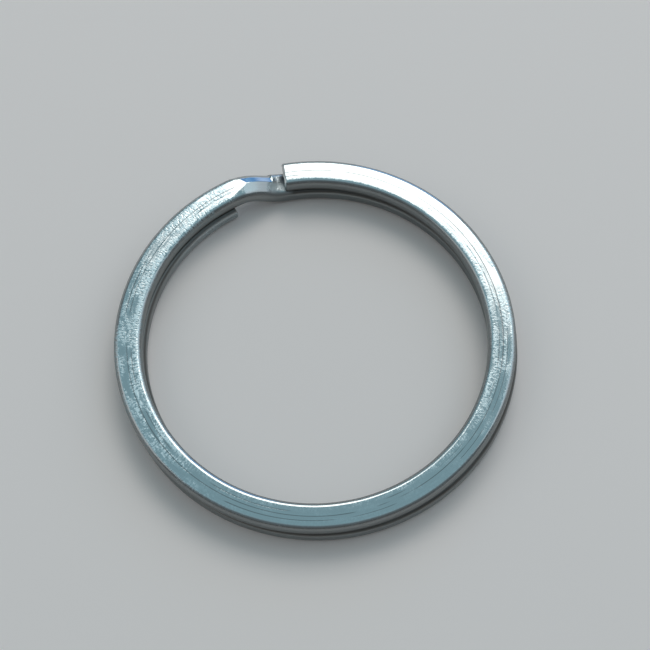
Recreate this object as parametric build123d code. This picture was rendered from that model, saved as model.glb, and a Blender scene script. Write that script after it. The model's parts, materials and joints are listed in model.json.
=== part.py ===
from build123d import *

import os
from math import atan2, cos, degrees, radians, sin

# A split ring: one flat steel wire, wound into two turns that lie on each other.
#
# Frame: +Z is the ring's axis, z = 0 is the flat underside, and +Y points at the middle of
# the crossover, where the wire drops from the upper turn to the lower one.
# A place along the wire is its bearing: degrees clockwise from +Y, seen from above. The wire
# runs clockwise too, so the bearing only grows, from the upper end to the lower end.

# Driving dimensions, in millimetres and degrees.
OUTER_DIAMETER = 32.0
WIRE_WIDTH = 2.25  # along the ring's radius
WIRE_THICKNESS = 1.40  # along the ring's axis
CORNER_RADIUS = 0.40  # the wire's four rolled corners
TURN_GAP = 0.06  # between the two turns, where nothing is held
TURN_OFFSET = 0.22  # how far the lower turn's centre lies from the upper turn's
TURN_OFFSET_BEARING = 128.0
CROSSOVER_SPAN = 17.1  # the arc in which the wire drops by one turn
UPPER_END_OVERHANG = 0.95  # how far the upper end reaches back over the crossover's foot
LOWER_END_SETBACK = 2.4  # how far the lower end stops short of the crossover's head
END_EDGE_RADIUS = 0.08  # the sheared ends' worn edges
CROSSOVER_SECTIONS = 13

outer_radius = OUTER_DIAMETER / 2
wire_radius = outer_radius - WIRE_WIDTH / 2
turn_rise = WIRE_THICKNESS + TURN_GAP
corner_radius = min(CORNER_RADIUS, 0.45 * WIRE_THICKNESS, 0.45 * WIRE_WIDTH)
end_edge_radius = min(END_EDGE_RADIUS, 0.4 * corner_radius)

full_turn = 360.0
crossover_start = full_turn - CROSSOVER_SPAN / 2
crossover_finish = full_turn + CROSSOVER_SPAN / 2
wire_start = CROSSOVER_SPAN / 2 - UPPER_END_OVERHANG
wire_finish = full_turn + crossover_start - LOWER_END_SETBACK


def crossover_share(bearing):
    """How far along the crossover a bearing is, from 0 to 1."""
    return min(max((bearing - crossover_start) / CROSSOVER_SPAN, 0.0), 1.0)


def drop_share(bearing):
    """0 on the upper turn, 1 on the lower one, with level and unbent ends between them."""
    share = crossover_share(bearing)
    return share**3 * (10 - 15 * share + 6 * share**2)


def drop_slope(bearing):
    """The wire's angle below level at a bearing."""
    share = crossover_share(bearing)
    fall_per_degree = turn_rise * 30 * share**2 * (1 - share) ** 2 / CROSSOVER_SPAN
    return degrees(atan2(fall_per_degree, radians(wire_radius)))


def outward(bearing):
    """The level unit vector that points out of the ring at a bearing."""
    return Vector(sin(radians(bearing)), cos(radians(bearing)), 0)


def turn_centre(bearing):
    """The centre that the wire circles at a bearing, at the height of the wire's middle."""
    drop = drop_share(bearing)
    height = WIRE_THICKNESS / 2 + (1 - drop) * turn_rise
    return outward(TURN_OFFSET_BEARING) * TURN_OFFSET * (drop - 0.5) + Vector(0, 0, height)


def wire_section(bearing):
    """The wire's rounded flat section, square to the wire."""
    slope = radians(drop_slope(bearing))
    along = outward(bearing + 90) * cos(slope) - Vector(0, 0, sin(slope))
    middle = turn_centre(bearing) + outward(bearing) * wire_radius
    plane = Plane(origin=middle, x_dir=outward(bearing), z_dir=along)
    return plane * RectangleRounded(WIRE_WIDTH, WIRE_THICKNESS, corner_radius)


def worn_end(turn, bearing):
    """A turn whose free end, at a bearing, has its sharp edges worn off."""
    end_middle = wire_section(bearing).center()
    end_face = turn.faces().sort_by_distance(end_middle)[0]
    return fillet(end_face.edges(), end_edge_radius)


def flat_turn(start, finish):
    """The wire from one bearing to another, at one height."""
    axis = Axis(turn_centre(start), (0, 0, -1))
    return revolve(wire_section(start), axis, finish - start)


def crossover():
    """The wire's S-shaped drop from the upper turn to the lower one."""
    step = CROSSOVER_SPAN / (CROSSOVER_SECTIONS - 1)
    bearings = [crossover_start + step * index for index in range(CROSSOVER_SECTIONS)]
    return loft([wire_section(bearing) for bearing in bearings])


def split_ring():
    """The whole ring, as one solid."""
    upper_turn = worn_end(flat_turn(wire_start, crossover_start), wire_start)
    lower_turn = worn_end(flat_turn(crossover_finish, wire_finish), wire_finish)
    ring = upper_turn + crossover() + lower_turn
    ring.label = "split_ring"
    return ring


os.makedirs("parts", exist_ok=True)
export_step(split_ring(), "parts/split_ring.step")
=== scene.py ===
"""A split ring of flat nickel-plated steel wire, lying on a pale floor under soft studio light."""

import json
from math import cos, pi, radians, sin

import bmesh
import bpy
import numpy as np
from mathutils import Matrix, Vector, noise


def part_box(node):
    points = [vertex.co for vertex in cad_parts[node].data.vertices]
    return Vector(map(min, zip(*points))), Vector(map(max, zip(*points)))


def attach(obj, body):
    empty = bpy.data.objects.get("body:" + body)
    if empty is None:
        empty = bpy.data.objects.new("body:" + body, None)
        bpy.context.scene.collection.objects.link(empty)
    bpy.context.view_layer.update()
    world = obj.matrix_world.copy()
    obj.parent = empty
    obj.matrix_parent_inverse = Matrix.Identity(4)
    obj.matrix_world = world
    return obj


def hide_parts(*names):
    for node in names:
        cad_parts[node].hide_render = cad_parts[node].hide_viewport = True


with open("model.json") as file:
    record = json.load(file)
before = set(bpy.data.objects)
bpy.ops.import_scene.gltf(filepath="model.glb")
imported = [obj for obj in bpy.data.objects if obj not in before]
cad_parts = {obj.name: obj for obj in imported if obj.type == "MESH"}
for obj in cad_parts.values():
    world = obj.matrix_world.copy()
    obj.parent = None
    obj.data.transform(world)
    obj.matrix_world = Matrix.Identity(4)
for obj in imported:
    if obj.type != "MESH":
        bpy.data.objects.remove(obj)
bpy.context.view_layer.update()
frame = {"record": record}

# ---------------------------------------------------------------------------------------------
# Sizes, in millimetres and degrees. A place along the wire is its bearing, clockwise from +Y.
# ---------------------------------------------------------------------------------------------
METRE = 0.001
NODE = "split_ring"
RING_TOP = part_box(NODE)[1].z / METRE
RING_BORE = next(m for m in frame["record"]["mounts"] if m["name"] == "ring_bore")

TURN_GAP = 0.06
TURN_OFFSET = 0.22
TURN_OFFSET_BEARING = 128.0
CROSSOVER_SPAN = 17.1
UPPER_END_OVERHANG = 0.95
LOWER_END_SETBACK = 2.4
OUTER_RADIUS = 16.0
CORNER_RADIUS = 0.40
FACE_CROWN = 0.022  # a rolled face is this much fuller in its middle than at its corners
SIDE_CROWN = 0.03

INNER_RADIUS = RING_BORE["dims"]["r_mm"]
WIRE_WIDTH = OUTER_RADIUS - INNER_RADIUS
WIRE_THICKNESS = (round(RING_TOP, 2) - TURN_GAP) / 2
WIRE_RADIUS = OUTER_RADIUS - WIRE_WIDTH / 2
HALF_WIDTH = WIRE_WIDTH / 2
HALF_HEIGHT = WIRE_THICKNESS / 2
TURN_RISE = WIRE_THICKNESS + TURN_GAP
MM_PER_DEGREE = WIRE_RADIUS * pi / 180

CROSSOVER_START = 360 - CROSSOVER_SPAN / 2
CROSSOVER_FINISH = 360 + CROSSOVER_SPAN / 2
WIRE_START = CROSSOVER_SPAN / 2 - UPPER_END_OVERHANG
WIRE_FINISH = 360 + CROSSOVER_START - LOWER_END_SETBACK
WIRE_LENGTH = (WIRE_FINISH - WIRE_START) * MM_PER_DEGREE

# What the joggling tool leaves on the crossover.
RIDGE = 0.12  # two pressed facets meet in a ridge this far out from the wire's middle
OUTER_SLOPE, INNER_SLOPE = 0.20, 0.15
OUTER_EDGE, OUTER_EDGE_SLOPE = 0.68, 0.25  # the outer facet turns down again here
# The flat face ends in a point between the facets: its edges, as (bearing, distance outward).
POINT_OUTER_EDGE = [(351.0, 1.12), (352.5, 0.76), (353.8, 0.58), (355.0, RIDGE)]
POINT_INNER_EDGE = [(346.5, -1.12), (348.8, -0.80), (352.5, -0.35), (355.0, RIDGE)]
WAIST_OUTSIDE = 0.05  # the share of its half width that the crossover loses outside
WAIST_INSIDE = 0.16  # and inside, at its top
SCAR_DEPTH = 0.02  # the crushed patch beside the upper end
HOLLOW_DEPTH = 0.11  # the hollow at the foot of the upper end's cut
LIP_HEIGHT = 0.022  # the burr along the inner edge under the upper end

# The sheared ends.
ROLLOVER = 0.10  # how far the shear draws the upper edge of the cut back
CUT_ROUGHNESS = 0.03  # how uneven the torn part of the cut is
END_EDGE_RADIUS = 0.09
SHEAR_REACH = 0.45  # how far from the cut the wire is drawn along with it


# ---------------------------------------------------------------------------------------------
# The wire's path
# ---------------------------------------------------------------------------------------------
def smooth_step(share):
    """0 to 1 with level, unbent ends."""
    share = np.clip(share, 0.0, 1.0)
    return share**3 * (10 - 15 * share + 6 * share**2)


def hump(value, middle, width):
    """A soft hump of height 1 round a middle."""
    return np.exp(-(((value - middle) / width) ** 2))


def bearing_vector(bearing):
    """Level unit vectors that point out of the ring at the bearings."""
    angle = np.radians(bearing)
    return np.stack([np.sin(angle), np.cos(angle), np.zeros_like(angle)], -1)


def wire_middle(bearing):
    """The wire's centreline at the bearings: the upper turn, the crossover and the lower turn."""
    drop = smooth_step((bearing - CROSSOVER_START) / CROSSOVER_SPAN)[..., None]
    shift = bearing_vector(np.array(TURN_OFFSET_BEARING)) * TURN_OFFSET * (drop - 0.5)
    height = HALF_HEIGHT + (1 - drop) * TURN_RISE
    return shift + bearing_vector(bearing) * WIRE_RADIUS + height * np.array([0, 0, 1.0])


def wire_axes(bearing):
    """Unit vectors along the wire, outward and upward, square to each other, at the bearings."""
    step = 0.01
    along = wire_middle(bearing + step) - wire_middle(bearing - step)
    along /= np.linalg.norm(along, axis=-1, keepdims=True)
    outward = bearing_vector(bearing)
    outward -= (outward * along).sum(-1, keepdims=True) * along
    outward /= np.linalg.norm(outward, axis=-1, keepdims=True)
    return along, outward, np.cross(along, outward)


def spaced_bearings():
    """Bearings along the wire: close together in the crossover and at both ends."""
    spans = [
        (WIRE_START, WIRE_START + 4, 0.12),
        (WIRE_START + 4, CROSSOVER_START - 3, 0.9),
        (CROSSOVER_START - 3, CROSSOVER_FINISH + 5, 0.14),
        (CROSSOVER_FINISH + 5, WIRE_FINISH - 4, 0.9),
        (WIRE_FINISH - 4, WIRE_FINISH, 0.12),
    ]
    pieces = []
    for start, finish, step in spans:
        count = round((finish - start) / step)
        pieces.append(np.linspace(start, finish, count, endpoint=False))
    return np.concatenate([*pieces, [WIRE_FINISH]])


# ---------------------------------------------------------------------------------------------
# The wire's section: u is outward and v is upward from the wire's middle
# ---------------------------------------------------------------------------------------------
def wire_section():
    """The rounded flat section's outline, from the outer side over the top and round."""
    corner_steps, face_steps = 8, (22, 5, 10, 5)
    middles = [(1, 1), (-1, 1), (-1, -1), (1, -1)]
    points = []
    for number, (side, level) in enumerate(middles):
        steps = face_steps[number]
        arc = []
        for angle in np.radians(90 * number + np.linspace(0, 90, corner_steps + 1)):
            across = side * (HALF_WIDTH - CORNER_RADIUS) + CORNER_RADIUS * cos(angle)
            above = level * (HALF_HEIGHT - CORNER_RADIUS) + CORNER_RADIUS * sin(angle)
            arc.append((across, above))
        points += arc
        end = np.array(arc[-1])
        span = 2 * (HALF_WIDTH if number % 2 == 0 else HALF_HEIGHT) - 2 * CORNER_RADIUS
        heading = np.array([(-1, 0), (0, -1), (1, 0), (0, 1)][number])
        points += [tuple(end + heading * span * step / steps) for step in range(1, steps)]
    u, v = np.array(points).T
    crowned_u = u * (1 - SIDE_CROWN / HALF_WIDTH * (v / HALF_HEIGHT) ** 2)
    crowned_v = v * (1 - FACE_CROWN / HALF_HEIGHT * (u / HALF_WIDTH) ** 2)
    return crowned_u, crowned_v


def ripple(along_mm, seed, wavelengths):
    """A slow irregular wave along the wire, from -1 to 1."""
    phases = np.random.default_rng(seed).uniform(0, 2 * pi, len(wavelengths))
    waves = [np.sin(2 * pi * along_mm / w + p) for w, p in zip(wavelengths, phases)]
    return sum(waves) / len(wavelengths)


def noise_at(place, per_mm, seed):
    """Smooth noise at each place, mostly from -1 to 1; per_mm is cells to a mm, or one per axis."""
    shift = Vector((7.31, 3.17, 5.73)) * seed
    rows = place.reshape(-1, 3) * per_mm
    values = [noise.noise(Vector(row) + shift) for row in rows]
    return np.array(values).reshape(place.shape[:-1]) * 2


def wander(along_mm, u, v):
    """The drawn wire's unevenness: its faces wander by a hundredth of a millimetre or so."""
    width = 1 + 0.006 * (ripple(along_mm, 3, (3.1, 5.3, 9.7, 17.0)) - 1)
    height = 1 + 0.008 * (ripple(along_mm, 5, (2.3, 4.1, 7.9, 13.0)) - 1)
    return u * width, v * height


def press_crossover(bearing, u, v):
    """The joggling tool's work: two facets that meet in a ridge, and a narrower waist."""
    share = (bearing - CROSSOVER_START) / CROSSOVER_SPAN
    outer_edge = np.interp(bearing, *zip(*POINT_OUTER_EDGE))
    inner_edge = np.interp(bearing, *zip(*POINT_INNER_EDGE))
    outer = OUTER_SLOPE * np.clip(u - outer_edge, 0, None)
    outer += OUTER_EDGE_SLOPE * np.clip(u - np.maximum(outer_edge, OUTER_EDGE), 0, None)
    outer *= 1 - smooth_step((bearing - 361.7) / 0.9)
    inner = INNER_SLOPE * np.clip(inner_edge - u, 0, None) * (1 - smooth_step((bearing - 361) / 6))
    v = np.where(v > 0, v - (outer + inner) * np.clip(v / HALF_HEIGHT, 0, 1), v)
    waist = hump(share, 0.45, 0.32)
    narrower = np.where(u > 0, WAIST_OUTSIDE, WAIST_INSIDE * np.clip(v / HALF_HEIGHT, 0, 1))
    return u * (1 - narrower * waist), v


def scar_weight(bearing, u, v):
    """Where the tool has crushed the wire's top, just before the upper end's cut."""
    along = smooth_step((bearing - 362.2) / 1.6) * (1 - smooth_step((bearing - 366.6) / 1.5))
    across = smooth_step((u + 0.05) / 0.35)
    return along * across * np.clip(v / HALF_HEIGHT, 0, 1)


def hollow_weight(bearing, u, v):
    """Where the crushed metal sinks at the foot of the upper end's cut."""
    along = hump(bearing, WIRE_START + 359.4, 1.2)
    return along * hump(u, 0.55, 0.50) * np.clip(v / HALF_HEIGHT, 0, 1)


def lip_weight(bearing, u, v):
    """Where the tool has drawn a burr up along the inner edge, under the upper end."""
    along = smooth_step((bearing - 359.5) / 3.5) * (1 - smooth_step((bearing - 368) / 3.5))
    return along * hump(u, -0.45 - 0.055 * (bearing - 361), 0.17) * np.clip(v / HALF_HEIGHT, 0, 1)


def rub_weight(bearing, u, v):
    """Where the tool has only rubbed the inner facet matt, on its way under the upper end."""
    along = smooth_step((bearing - 359.0) / 3.5) * (1 - smooth_step((bearing - 368) / 2))
    return along * (1 - smooth_step((u + 0.05) / 0.25)) * np.clip(v / HALF_HEIGHT, 0, 1)


def mark_crossover(bearing, place, u, v):
    """Crushed metal and a hollow beside the cut, with a burr along the inner edge."""
    scar, lip = scar_weight(bearing, u, v), lip_weight(bearing, u, v)
    marked = scar + lip > 0.01
    dents = np.zeros_like(v)
    coarse, fine = np.array([3.0, 5.0, 5.0]), np.array([7.0, 11.0, 11.0])
    dents[marked] = 0.4 * noise_at(place[marked], coarse, 1) + 0.2 * noise_at(place[marked], fine, 2)
    sunk = scar * SCAR_DEPTH * (1 + dents) + hollow_weight(bearing, u, v) * HOLLOW_DEPTH
    return u, v - sunk + lip * LIP_HEIGHT * np.clip(0.6 + dents, 0, None)


def cut_depth(place, seed):
    """How far a sheared face lies back from the end's plane: drawn down above, torn below."""
    height = place[..., 2] / HALF_HEIGHT
    rolled = ROLLOVER * smooth_step((height - 0.1) / 1.1)
    torn = CUT_ROUGHNESS * (1 + noise_at(place, 3.5, seed)) * (1.2 - 0.6 * height)
    return rolled + torn


def shear_ends(along_mm, place, u, v):
    """Rounds the ends' edges and draws the wire along with each cut; returns the slide too."""
    slide = np.zeros_like(u)
    for distance, sign, seed in ((along_mm, 1, 11), (WIRE_LENGTH - along_mm, -1, 12)):
        near = distance < SHEAR_REACH
        depth = cut_depth(place[near], seed) * (1 - distance[near] / SHEAR_REACH) ** 2
        slide[near] += sign * depth
        inside = np.clip(END_EDGE_RADIUS - distance[near], 0, None)
        inset = END_EDGE_RADIUS - np.sqrt(END_EDGE_RADIUS**2 - inside**2)
        u[near] *= 1 - inset / HALF_WIDTH
        v[near] *= 1 - inset / HALF_HEIGHT
    return u, v, slide


# ---------------------------------------------------------------------------------------------
# The ring's mesh
# ---------------------------------------------------------------------------------------------
# Frosting on the upper turn, as (bearing, half spread, amount).
FROST_PATCHES = [(338, 16, 0.75), (300, 26, 1.0), (258, 22, 1.0), (100, 32, 0.50)]
PLAIN_FROST = 0.15
LOWER_TURN_FROST = 0.45
CAP_RINGS = 7


def frost_amount(bearing):
    """How frosted the plating is at the bearings."""
    upper = PLAIN_FROST + sum(a * hump(bearing, b, w) for b, w, a in FROST_PATCHES)
    lower = smooth_step((bearing - CROSSOVER_FINISH) / 20)
    worked = smooth_step((bearing - 347) / 6) * (1 - lower)
    return np.clip(upper, 0, 1) * (1 - lower) * (1 - worked) + LOWER_TURN_FROST * lower


def painted_shade_amount(bearing, u, v):
    """Painted shade: darker side walls as a painted dark reflection, and painted shade in the slot
    between the turns and in the hollow at the foot of the cut.
    """
    facing = np.where(bearing < 360, -v, v) / HALF_HEIGHT
    before = 1 - smooth_step((bearing - CROSSOVER_START + 4) / 4)
    after = smooth_step((bearing - CROSSOVER_FINISH + 2) / 4)
    # The painted shade in the slot starts this far towards the face that looks into the slot.
    shade_start = np.where(bearing < 360, 0.05, 0.50)
    slot = (before + after) * smooth_step((facing - shade_start) / 0.60)
    # Painted dark reflection on the side walls, weaker towards the lower turn's end.
    wall_shade = 0.62 * smooth_step((np.abs(u) - 0.82) / 0.24)
    wall_shade = wall_shade * (1 - 0.7 * smooth_step((bearing - 660) / 40))
    return np.clip(slot + wall_shade + hollow_weight(bearing, u, v), 0, 1)


def closed_end(rim, rim_place, inward, seed):
    """Rings of points that fill a sheared end, from its rim to its middle."""
    middle_place = rim_place.mean(0)
    plane = rim - cut_depth(rim_place, seed)[:, None] * inward
    points, places = [], []
    for ring in range(1, CAP_RINGS + 1):
        shrink = 1 - ring / CAP_RINGS
        place = middle_place + (rim_place - middle_place) * shrink
        flat = plane.mean(0) + (plane - plane.mean(0)) * shrink
        points.append(flat + cut_depth(place, seed)[:, None] * inward)
        places.append(place)
    return np.array(points), np.array(places)


def build_ring():
    """The section carried along the wire, with the crossover's marks and sheared, closed ends.

    Two attributes go with the mesh. wire_place is along, outward and up, in millimetres, on the
    straight unworn wire. The other is the tool's marks (or -1 on a cut), painted shade and frosting.
    """
    bearings = spaced_bearings()
    section_u, section_v = wire_section()
    shape = (len(bearings), len(section_u))
    bearing = np.broadcast_to(bearings[:, None], shape)
    along_mm = (bearing - WIRE_START) * MM_PER_DEGREE
    place = np.stack(np.broadcast_arrays(along_mm, section_u, section_v), -1)
    u, v = wander(along_mm, section_u, section_v)
    u, v = press_crossover(bearing, u, v)
    u, v = mark_crossover(bearing, place, u, v)
    u, v, slide = shear_ends(along_mm, place, u, v)
    along, outward, upward = (axis[:, None] for axis in wire_axes(bearings))
    points = wire_middle(bearings)[:, None]
    points = points + u[..., None] * outward + v[..., None] * upward + slide[..., None] * along
    weights = [w(bearing, section_u, section_v) for w in (scar_weight, lip_weight, rub_weight)]
    marks = np.clip(sum(weights), 0, 1)
    # Painted shade: the side walls, the slot between the turns and the hollow at the cut are
    # darkened.
    painted_shade = painted_shade_amount(bearing, section_u, section_v)
    wear_and_shade = np.stack([marks, painted_shade, frost_amount(bearing)], -1)
    first = closed_end(points[0], place[0], along[0, 0], 11)
    last = closed_end(points[-1], place[-1], -along[-1, 0], 12)
    return ring_object(points, place, wear_and_shade, first, last)


def ring_object(points, place, wear_and_shade, first, last):
    """Joins the wire's rows and its two caps into one closed mesh."""
    rows = [first[0][::-1], points, last[0]]
    places = [first[1][::-1], place, last[1]]
    raw = np.broadcast_to([-1.0, 0.0, 0.0], first[1].shape)
    wear_and_shade_rows = [raw, wear_and_shade, raw]
    points, place, wear_and_shade = (np.concatenate(stack) for stack in (rows, places, wear_and_shade_rows))
    count, columns = points.shape[:2]
    index = np.arange(count * columns).reshape(count, columns)
    index[0], index[-1] = index[0, 0], index[-1, 0]
    here, ahead = index[:-1], index[1:]
    quads = np.stack([here, np.roll(here, -1, 1), np.roll(ahead, -1, 1), ahead], -1)
    faces = [list(dict.fromkeys(map(int, quad))) for quad in quads.reshape(-1, 4)]
    mesh = bpy.data.meshes.new("ring_wire")
    mesh.from_pydata((points.reshape(-1, 3) * METRE).tolist(), [], faces)
    # The second attribute holds the tool's marks, the painted shade and the frosting.
    for name, values in (("wire_place", place), ("wire_wear_and_shade", wear_and_shade)):
        attribute = mesh.attributes.new(name, "FLOAT_VECTOR", "POINT")
        attribute.data.foreach_set("vector", values.astype(np.float32).ravel())
    drop_loose_points(mesh)
    mesh.shade_smooth()
    ring = bpy.data.objects.new("ring_wire", mesh)
    bpy.context.scene.collection.objects.link(ring)
    return ring


def drop_loose_points(mesh):
    """Deletes the points that the caps' middles no longer use, and turns the faces outward."""
    work = bmesh.new()
    work.from_mesh(mesh)
    loose = [point for point in work.verts if not point.link_faces]
    bmesh.ops.delete(work, geom=loose, context="VERTS")
    bmesh.ops.recalc_face_normals(work, faces=work.faces)
    work.to_mesh(mesh)
    work.free()


# ---------------------------------------------------------------------------------------------
# The finish
# ---------------------------------------------------------------------------------------------
class Nodes:
    """Builds one material's nodes, so that a recipe reads as a few plain steps."""

    def __init__(self, name):
        self.material = bpy.data.materials.new(name)
        self.material.use_nodes = True
        self.tree = self.material.node_tree
        self.shader = self.tree.nodes["Principled BSDF"]

    def put(self, socket, value):
        """Links a socket to another, or sets it to a number or a colour."""
        if isinstance(value, bpy.types.NodeSocket):
            self.tree.links.new(value, socket)
        else:
            socket.default_value = value

    def math(self, operation, *values, clamp=False):
        """One step of arithmetic on sockets and numbers."""
        node = self.tree.nodes.new("ShaderNodeMath")
        node.operation, node.use_clamp = operation, clamp
        for socket, value in zip(node.inputs, values):
            self.put(socket, value)
        return node.outputs[0]

    def total(self, *values):
        result = values[0]
        for value in values[1:]:
            result = self.math("ADD", result, value)
        return result

    def times(self, *values):
        result = values[0]
        for value in values[1:]:
            result = self.math("MULTIPLY", result, value)
        return result

    def attribute(self, name):
        """A vector attribute and its three parts."""
        node = self.tree.nodes.new("ShaderNodeAttribute")
        node.attribute_name = name
        split = self.tree.nodes.new("ShaderNodeSeparateXYZ")
        self.put(split.inputs[0], node.outputs["Vector"])
        return node.outputs["Vector"], split.outputs

    def noise(self, vector, scales, detail=2.0, shift=0.0):
        """Noise with so many cells to a millimetre along, across and through the wire."""
        node = self.tree.nodes.new("ShaderNodeMapping")
        node.inputs["Scale"].default_value = scales
        node.inputs["Location"].default_value = (shift, shift * 1.7, shift * 2.3)
        self.put(node.inputs["Vector"], vector)
        field = self.tree.nodes.new("ShaderNodeTexNoise")
        field.inputs["Scale"].default_value = 1.0
        field.inputs["Detail"].default_value = detail
        self.put(field.inputs["Vector"], node.outputs[0])
        return field.outputs["Fac"]

    def fade(self, value, low, high):
        """0 up to low, 1 from high, smooth between them."""
        node = self.tree.nodes.new("ShaderNodeMapRange")
        node.interpolation_type = "SMOOTHSTEP"
        self.put(node.inputs["Value"], value)
        node.inputs["From Min"].default_value = low
        node.inputs["From Max"].default_value = high
        return node.outputs[0]

    def band(self, value, middle, half_width):
        """1 on a line, 0 beyond its half width."""
        away = self.math("ABSOLUTE", self.math("SUBTRACT", value, middle))
        return self.math("SUBTRACT", 1.0, self.fade(away, 0.0, half_width))

    def blend(self, share, first, second):
        """The first colour at a share of 0, the second at 1."""
        node = self.tree.nodes.new("ShaderNodeMix")
        node.data_type = "RGBA"
        self.put(node.inputs["Factor"], share)
        self.put(node.inputs["A"], first)
        self.put(node.inputs["B"], second)
        return node.outputs["Result"]

    def bump(self, height_mm):
        """The normal of a surface with this relief."""
        node = self.tree.nodes.new("ShaderNodeBump")
        node.inputs["Distance"].default_value = METRE
        node.inputs["Strength"].default_value = 1.0
        self.put(node.inputs["Height"], height_mm)
        return node.outputs[0]


PLATE_COLOUR = (0.49, 0.54, 0.555, 1)
FROST_COLOUR = (0.60, 0.75, 0.80, 1)
SCORE_COLOUR = (0.14, 0.14, 0.14, 1)
# The colour of the painted shade on the side walls, in the slot between the turns and in the hollow
# at the cut.
PAINTED_SHADE_COLOUR = (0.07, 0.06, 0.05, 1)
CUT_COLOUR = (0.62, 0.62, 0.61, 1)

# Long scores on the flat faces, as (distance outward, noise level above which one shows).
SCORES = [(0.05, 0.42), (-0.32, 0.50), (0.36, 0.53)]
SCORE_HALF_WIDTH = 0.055


def nickel_plate():
    """Nickel plating over drawn steel: draw lines, scores, frosting, raw sheared ends, and painted
    shade on the walls, in the slot and in the hollow.
    """
    n = Nodes("nickel_plated_steel")
    place, (_, across, _) = n.attribute("wire_place")
    # The second part of the second attribute is the painted shade.
    _, (marks_or_cut, painted_shade, frost) = n.attribute("wire_wear_and_shade")
    cut = n.math("MULTIPLY", marks_or_cut, -1.0, clamp=True)
    marks = n.math("MULTIPLY", marks_or_cut, 1.0, clamp=True)

    fine_lines = n.noise(place, (0.10, 15.0, 15.0), detail=4)
    broad_lines = n.noise(place, (0.035, 3.2, 3.2), detail=2, shift=5)
    grain = n.noise(place, (6.5, 3.6, 3.6), detail=2, shift=9)
    streaks = n.fade(n.noise(place, (0.35, 3.8, 3.8), detail=2, shift=21), 0.38, 0.60)
    clouds = n.noise(place, (0.5, 1.3, 1.3), detail=3, shift=13)

    outer_row = n.band(across, 0.78, 0.14)
    inner_row = n.band(across, -0.62, 0.42)
    rows = n.times(n.math("MAXIMUM", outer_row, inner_row), n.total(0.12, n.times(frost, 0.7)))
    patches = n.times(n.fade(clouds, 0.40, 0.60), frost)
    cover = n.math("ADD", rows, patches, clamp=True)
    frosted = n.times(cover, n.fade(grain, 0.38, 0.60), n.total(0.45, n.times(streaks, 0.55)))

    drift = n.times(n.math("SUBTRACT", broad_lines, 0.5), 0.25)
    scored = 0.0
    for middle, low in SCORES:
        line = n.band(n.math("ADD", across, drift), middle, SCORE_HALF_WIDTH)
        broken = n.fade(n.noise(place, (0.16, 0.4, 0.4), 2, shift=17 + middle), low, low + 0.06)
        scored = n.math("ADD", scored, n.times(line, broken), clamp=True)
    scored = n.times(scored, n.fade(frost, 0.03, 0.12))

    walls = n.fade(n.math("ABSOLUTE", across), 0.82, 1.06)
    colour = n.blend(frosted, PLATE_COLOUR, FROST_COLOUR)
    colour = n.blend(n.times(fine_lines, 0.16), colour, SCORE_COLOUR)
    colour = n.blend(n.times(scored, 0.75), colour, SCORE_COLOUR)
    colour = n.blend(n.times(cut, 0.8), colour, CUT_COLOUR)
    # Painted shade: darkens the side walls, the slot between the turns and the hollow at the cut,
    # and makes them rougher.
    colour = n.blend(n.times(painted_shade, 0.85), colour, PAINTED_SHADE_COLOUR)
    n.put(n.shader.inputs["Base Color"], colour)
    n.shader.inputs["Metallic"].default_value = 1.0

    rough = n.total(
        0.07,
        n.times(fine_lines, 0.07),
        n.times(frosted, 0.38),
        n.times(walls, 0.12),
        n.times(marks, 0.22),
        n.times(cut, 0.30),
        n.times(painted_shade, 0.20),
    )
    n.put(n.shader.inputs["Roughness"], rough)

    relief = n.total(
        n.times(fine_lines, 0.0014),
        n.times(broad_lines, 0.006),
        n.times(scored, -0.002),
        n.times(grain, n.math("ADD", n.times(cover, 0.012), 0.0004)),
        n.times(grain, marks, 0.012),
        n.times(grain, cut, 0.03),
    )
    n.put(n.shader.inputs["Normal"], n.bump(relief))
    return n.material


# ---------------------------------------------------------------------------------------------
# The studio and the camera
# ---------------------------------------------------------------------------------------------
CAMERA_AZIMUTH = -14.95
CAMERA_ELEVATION = 67.1
CAMERA_ROLL = 3.0
CAMERA_DISTANCE = 128.0
CAMERA_LENS = 87.6
CAMERA_SHIFT = (0.0128, 0.0384)
FLOOR_COLOUR = (0.98, 0.91, 0.88)
FLOOR_SIZE = 4000.0
LAMP_DISTANCE = 600.0

# Each lamp's name, azimuth from the camera's side, elevation, size, brightness and colour.
LAMPS = [
    ("far_softbox", 167, 50, (310, 290), 2.8, (1.0, 0.91, 0.85)),
    ("right_softbox", 116, 38, (560, 460), 0.55, (0.92, 0.95, 1.0)),
    ("left_softbox", 262, 40, (420, 340), 0.5, (1.0, 0.95, 0.92)),
    ("low_blue_panel", 159, 15, (230, 300), 0.65, (0.02, 0.36, 1.0)),
]

# The sky's colour by how nearly a direction is SKY_MIDDLE, as (cosine, colour).
SKY_MIDDLE = (172, 62)
SKY = [
    (0.0, (0.16, 0.16, 0.16)),
    (0.66, (0.17, 0.21, 0.23)),
    (0.80, (0.33, 0.44, 0.48)),
    (0.95, (0.33, 0.50, 0.56)),
]
BACKDROP_COLOUR = (0.72, 0.72, 0.72)
BACKDROP_FADE = (0.10, 0.22)  # the heights, on a unit sphere, between which it turns to sky


def direction(azimuth, elevation):
    """The unit vector towards an azimuth and elevation, with azimuth 0 towards -Y."""
    a, e = radians(azimuth), radians(elevation)
    return Vector((sin(a) * cos(e), -cos(a) * cos(e), sin(e)))


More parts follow.
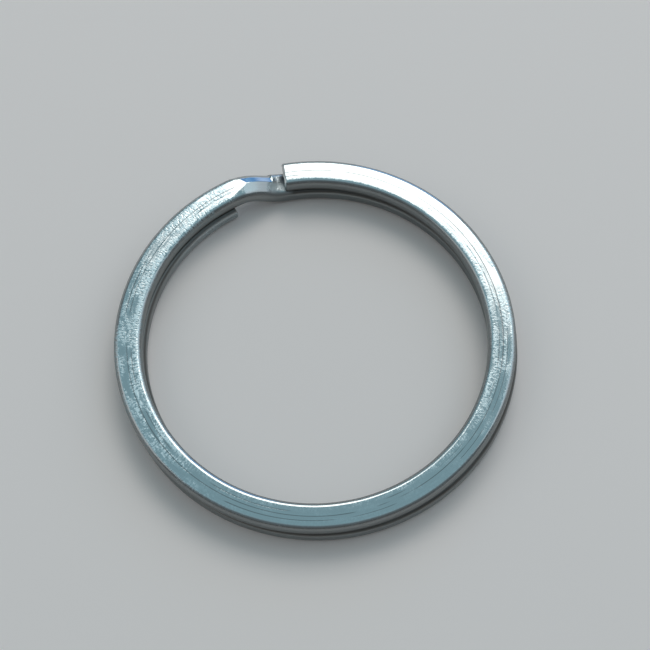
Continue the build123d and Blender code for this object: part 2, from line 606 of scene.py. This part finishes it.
def add_camera():
    data = bpy.data.cameras.new("camera")
    data.lens = CAMERA_LENS
    data.shift_x, data.shift_y = CAMERA_SHIFT
    data.clip_start, data.clip_end = 0.005, 10
    camera = bpy.data.objects.new("camera", data)
    bpy.context.scene.collection.objects.link(camera)
    back = direction(CAMERA_AZIMUTH, CAMERA_ELEVATION)
    camera.location = back * CAMERA_DISTANCE * METRE
    level = (-back).to_track_quat("-Z", "Y").to_matrix()
    camera.rotation_euler = (level @ Matrix.Rotation(radians(-CAMERA_ROLL), 3, "Z")).to_euler()
    bpy.context.scene.camera = camera


def add_softbox(name, azimuth, elevation, size, brightness, colour):
    """A rectangular lamp that faces the ring; azimuth counts from the camera's side."""
    width, height = size[0] * METRE, size[1] * METRE
    data = bpy.data.lights.new(name, "AREA")
    data.shape = "RECTANGLE"
    data.size, data.size_y = width, height
    data.energy = brightness * pi * width * height
    data.color = colour
    lamp = bpy.data.objects.new(name, data)
    bpy.context.scene.collection.objects.link(lamp)
    back = direction(CAMERA_AZIMUTH + azimuth, elevation)
    lamp.location = back * LAMP_DISTANCE * METRE
    lamp.rotation_euler = back.to_track_quat("Z", "Y").to_euler()
    lamp.visible_camera = False


def add_floor():
    n = Nodes("pale_floor")
    n.shader.inputs["Base Color"].default_value = (*FLOOR_COLOUR, 1)
    n.shader.inputs["Roughness"].default_value = 0.8
    half = FLOOR_SIZE / 2 * METRE
    corners = [(-half, -half, 0), (half, -half, 0), (half, half, 0), (-half, half, 0)]
    mesh = bpy.data.meshes.new("floor")
    mesh.from_pydata(corners, [], [(0, 1, 2, 3)])
    mesh.materials.append(n.material)
    floor = bpy.data.objects.new("floor", mesh)
    bpy.context.scene.collection.objects.link(floor)


def set_world():
    """A soft sky, brightest high on the far side, over a pale backdrop round the horizon."""
    world = bpy.data.worlds.new("studio")
    bpy.context.scene.world = world
    world.use_nodes = True
    nodes, links = world.node_tree.nodes, world.node_tree.links
    coordinates = nodes.new("ShaderNodeTexCoord")
    split = nodes.new("ShaderNodeSeparateXYZ")
    links.new(coordinates.outputs["Generated"], split.inputs[0])
    towards = nodes.new("ShaderNodeVectorMath")
    towards.operation = "DOT_PRODUCT"
    links.new(coordinates.outputs["Generated"], towards.inputs[0])
    towards.inputs[1].default_value = direction(CAMERA_AZIMUTH + SKY_MIDDLE[0], SKY_MIDDLE[1])
    sky = nodes.new("ShaderNodeValToRGB")
    links.new(towards.outputs["Value"], sky.inputs["Fac"])
    stops = sky.color_ramp.elements
    stops[0].position, stops[1].position = SKY[0][0], SKY[-1][0]
    for position, _ in SKY[1:-1]:
        stops.new(position)
    for stop, (_, colour) in zip(stops, SKY):
        stop.color = (*colour, 1)
    above = nodes.new("ShaderNodeMapRange")
    above.inputs["From Min"].default_value = BACKDROP_FADE[0]
    above.inputs["From Max"].default_value = BACKDROP_FADE[1]
    links.new(split.outputs["Z"], above.inputs["Value"])
    mix = nodes.new("ShaderNodeMix")
    mix.data_type = "RGBA"
    mix.inputs["A"].default_value = (*BACKDROP_COLOUR, 1)
    links.new(above.outputs[0], mix.inputs["Factor"])
    links.new(sky.outputs["Color"], mix.inputs["B"])
    links.new(mix.outputs["Result"], nodes["Background"].inputs["Color"])


def add_studio():
    set_world()
    add_floor()
    for lamp in LAMPS:
        add_softbox(*lamp)
    bpy.context.scene.view_settings.view_transform = "Standard"


ring = build_ring()
ring.data.materials.append(nickel_plate())
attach(ring, "root")
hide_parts(NODE)
add_studio()
add_camera()
